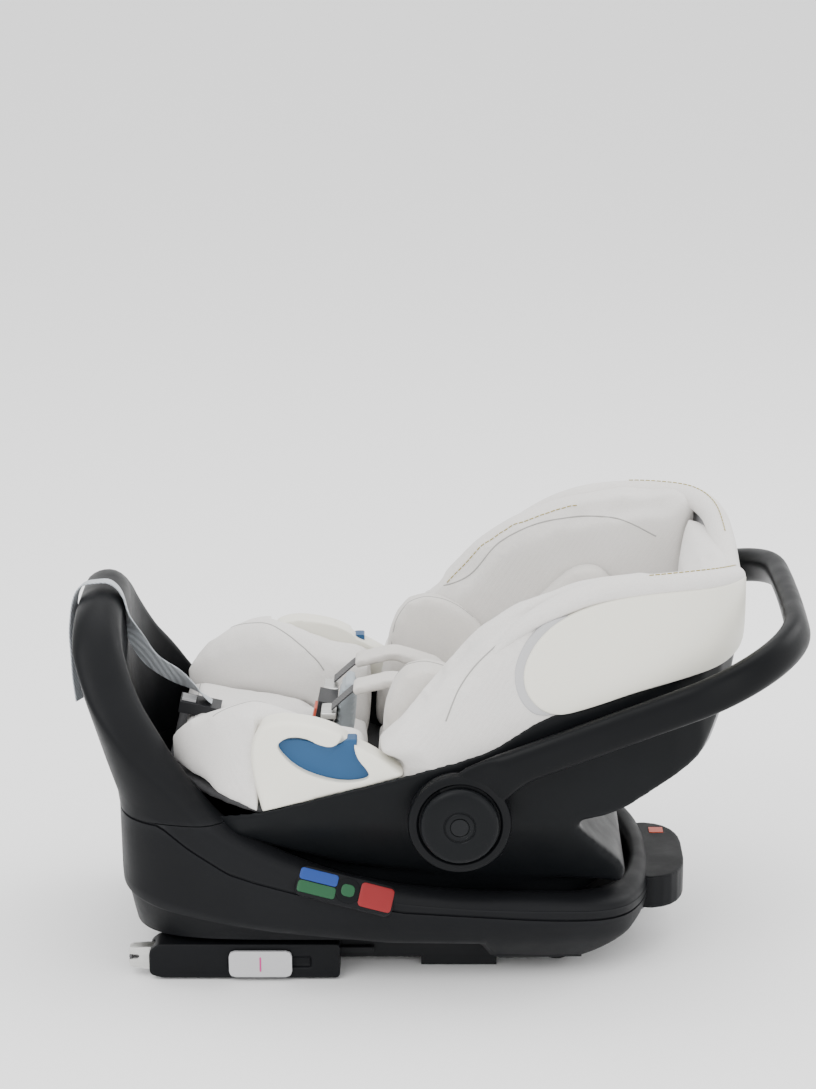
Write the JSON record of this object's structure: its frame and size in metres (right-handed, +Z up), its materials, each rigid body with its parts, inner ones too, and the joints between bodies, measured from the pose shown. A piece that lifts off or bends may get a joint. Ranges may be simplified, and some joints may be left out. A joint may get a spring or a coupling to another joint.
{
  "type": "infant car seat",
  "caption": "Rear-facing infant carrier with a swing handle, clicked into a vehicle base with rigid anchor arms, a load leg and a rebound panel.",
  "frame": {"origin": "on the floor under the centre of the seat and base together", "axes": "+X to the head end, +Z up, the occupant's left is the -Y side"},
  "size_m": [0.7756, 0.457, 0.446],
  "materials": {
    "base_plastic": "fine-grained matte moulding",
    "tub_plastic": "matte moulding",
    "shell_plastic": "fine-grained matte moulding",
    "handle_plastic": "satin moulding",
    "disc_plastic": "satin moulding",
    "cream_plastic": "smooth satin moulding",
    "blue_plastic": "satin moulding",
    "grey_plastic": "satin moulding",
    "red_plastic": "glossy moulding",
    "buckle_plastic": "fine-grained moulding",
    "level_window": "clear window with coloured zones",
    "level_ball": "polished",
    "seat_fabric": "knitted cover over foam",
    "insert_fabric": "soft brushed jersey",
    "grey_pad": "ribbed woven pad",
    "black_webbing": "woven polyester",
    "grey_webbing": "woven polyester",
    "foam": "moulded bead foam",
    "steel": "zinc-plated",
    "dark_steel": "blackened",
    "leg_tube": "satin moulding over a steel tube",
    "leg_inner": "brushed",
    "rubber": "soft rubber"
  },
  "bodies": {
    "base": {"base_shell": "base_plastic", "tub_shell": "tub_plastic", "rebound_panel": "base_plastic", "panel_back_cover": "base_plastic", "base_tray": "tub_plastic", "rubber_feet": "rubber", "receiver_bars": "steel", "level_housing": "tub_plastic", "level_window": "level_window", "leg_head": "base_plastic", "leg_pin": "steel", "leg_lock_window": "red_plastic"},
    "level_ball": {"level_ball": "level_ball"},
    "recline_foot": {"recline_foot": "tub_plastic"},
    "load_leg": {"leg_outer_tube": "leg_tube"},
    "leg_extension": {"leg_inner_tube": "leg_inner", "leg_foot": "rubber"},
    "leg_button": {"leg_button": "grey_plastic"},
    "carrier": {"carrier_shell": "shell_plastic", "foam_pan": "foam", "hub_sockets": "shell_plastic", "belt_guide_left": "cream_plastic", "belt_guide_right": "cream_plastic", "belt_pockets": "blue_plastic", "side_panel_left": "cream_plastic", "side_panel_right": "cream_plastic", "seat_pad": "seat_fabric", "side_bolster_left": "seat_fabric", "side_bolster_right": "seat_fabric", "leg_bolster_left": "seat_fabric", "leg_bolster_right": "seat_fabric", "foot_pad": "seat_fabric", "head_pad": "seat_fabric", "newborn_insert": "insert_fabric", "crotch_pad": "grey_pad", "buckle": "buckle_plastic", "buckle_tongues": "steel", "harness_straps": "black_webbing", "shoulder_pad_left": "insert_fabric", "shoulder_pad_right": "insert_fabric", "adjuster_plate": "buckle_plastic", "adjuster_strap": "grey_webbing"},
    "headrest": {"headrest": "insert_fabric"},
    "buckle_button": {"buckle_button": "red_plastic"},
    "adjuster_button": {"adjuster_button": "grey_plastic"},
    "carrier_hook": {"carrier_hook": "steel"},
    "release_lever": {"release_lever": "base_plastic"},
    "handle": {"handle": "handle_plastic"},
    "anchor_arm_left": {"anchor_arm_left": "base_plastic", "anchor_tip_left": "steel"},
    "anchor_jaw_left": {"anchor_jaw_left": "dark_steel"},
    "anchor_slider_left": {"anchor_slider_left": "grey_plastic"},
    "impact_disc_left": {"impact_disc_left": "disc_plastic"},
    "handle_button_left": {"handle_button_left": "grey_plastic"},
    "anchor_arm_right": {"anchor_arm_right": "base_plastic", "anchor_tip_right": "steel"},
    "anchor_jaw_right": {"anchor_jaw_right": "dark_steel"},
    "anchor_slider_right": {"anchor_slider_right": "grey_plastic"},
    "impact_disc_right": {"impact_disc_right": "disc_plastic"},
    "handle_button_right": {"handle_button_right": "grey_plastic"}
  },
  "joints": [
    {"name": "carrier_lift", "type": "slide", "parent": "base", "child": "carrier", "axis": [0, 0, 1], "range_m": [0, 0.35]},
    {"name": "handle_swing", "type": "hinge", "parent": "carrier", "child": "handle", "pos_m": [0.02, 0, 0.197], "axis": [0, -1, 0], "range_deg": [0, 115]},
    {"name": "headrest_slide", "type": "slide", "parent": "carrier", "child": "headrest", "axis": [0.8094, 0, 0.5873], "range_m": [0, 0.04]},
    {"name": "buckle_press", "type": "slide", "parent": "carrier", "child": "buckle_button", "axis": [0.9781, 0, -0.2079], "range_m": [0, 0.004], "stiffness_N_per_m": 400, "springref_m": -0.002},
    {"name": "adjuster_press", "type": "slide", "parent": "carrier", "child": "adjuster_button", "axis": [-0.2079, 0, -0.9781], "range_m": [0, 0.0018], "stiffness_N_per_m": 400, "springref_m": -0.002},
    {"name": "release_lever_pull", "type": "hinge", "parent": "carrier", "child": "release_lever", "pos_m": [0.222, 0, 0.213], "axis": [0, 1, 0], "range_deg": [0, 20], "stiffness_Nm_per_rad": 1.5, "springref_deg": -20.05},
    {"name": "carrier_hook_turn", "type": "hinge", "parent": "carrier", "child": "carrier_hook", "pos_m": [0.142, 0, 0.1], "axis": [0, -1, 0], "range_deg": [0, 21]},
    {"name": "level_ball_roll", "type": "slide", "parent": "base", "child": "level_ball", "axis": [0.9401, 0, -0.341], "range_m": [-0.03, 0.03]},
    {"name": "recline_step", "type": "slide", "parent": "base", "child": "recline_foot", "axis": [0, 0, -1], "range_m": [0, 0.025]},
    {"name": "load_leg_swing", "type": "hinge", "parent": "base", "child": "load_leg", "pos_m": [0.24, 0, 0.064], "axis": [0, -1, 0], "range_deg": [0, 100]},
    {"name": "load_leg_extend", "type": "slide", "parent": "load_leg", "child": "leg_extension", "axis": [-1, 0, 0], "range_m": [0, 0.16]},
    {"name": "leg_button_press", "type": "slide", "parent": "load_leg", "child": "leg_button", "axis": [0, 0, 1], "range_m": [0, 0.002], "stiffness_N_per_m": 400, "springref_m": -0.002},
    {"name": "anchor_arm_left_slide", "type": "slide", "parent": "base", "child": "anchor_arm_left", "axis": [-1, 0, 0], "range_m": [0, 0.09]},
    {"name": "anchor_slider_left_pull", "type": "slide", "parent": "anchor_arm_left", "child": "anchor_slider_left", "axis": [1, 0, 0], "range_m": [0, 0.018], "stiffness_N_per_m": 150, "springref_m": -0.004},
    {"name": "anchor_jaw_left_open", "type": "hinge", "parent": "anchor_arm_left", "child": "anchor_jaw_left", "pos_m": [-0.297, -0.14, 0.013], "axis": [0, -1, 0], "range_deg": [0, 20]},
    {"name": "impact_disc_left_pull", "type": "slide", "parent": "carrier", "child": "impact_disc_left", "axis": [0, -1, 0], "range_m": [0, 0.012]},
    {"name": "handle_button_left_press", "type": "slide", "parent": "impact_disc_left", "child": "handle_button_left", "axis": [0, 1, 0], "range_m": [0, 0.004], "stiffness_N_per_m": 400, "springref_m": -0.002},
    {"name": "anchor_arm_right_slide", "type": "slide", "parent": "base", "child": "anchor_arm_right", "axis": [-1, 0, 0], "range_m": [0, 0.09]},
    {"name": "anchor_slider_right_pull", "type": "slide", "parent": "anchor_arm_right", "child": "anchor_slider_right", "axis": [1, 0, 0], "range_m": [0, 0.018], "stiffness_N_per_m": 150, "springref_m": -0.004},
    {"name": "anchor_jaw_right_open", "type": "hinge", "parent": "anchor_arm_right", "child": "anchor_jaw_right", "pos_m": [-0.297, 0.14, 0.013], "axis": [0, -1, 0], "range_deg": [0, 20]},
    {"name": "impact_disc_right_pull", "type": "slide", "parent": "carrier", "child": "impact_disc_right", "axis": [0, 1, 0], "range_m": [0, 0.012]},
    {"name": "handle_button_right_press", "type": "slide", "parent": "impact_disc_right", "child": "handle_button_right", "axis": [0, -1, 0], "range_m": [0, 0.004], "stiffness_N_per_m": 400, "springref_m": -0.002}
  ],
  "couplings": [
    {"joint": "carrier_hook_turn", "follows": "release_lever_pull", "ratio": 1},
    {"joint": "anchor_jaw_left_open", "follows": "anchor_slider_left_pull", "rad_per_m": 19},
    {"joint": "anchor_jaw_right_open", "follows": "anchor_slider_right_pull", "rad_per_m": 19}
  ]
}
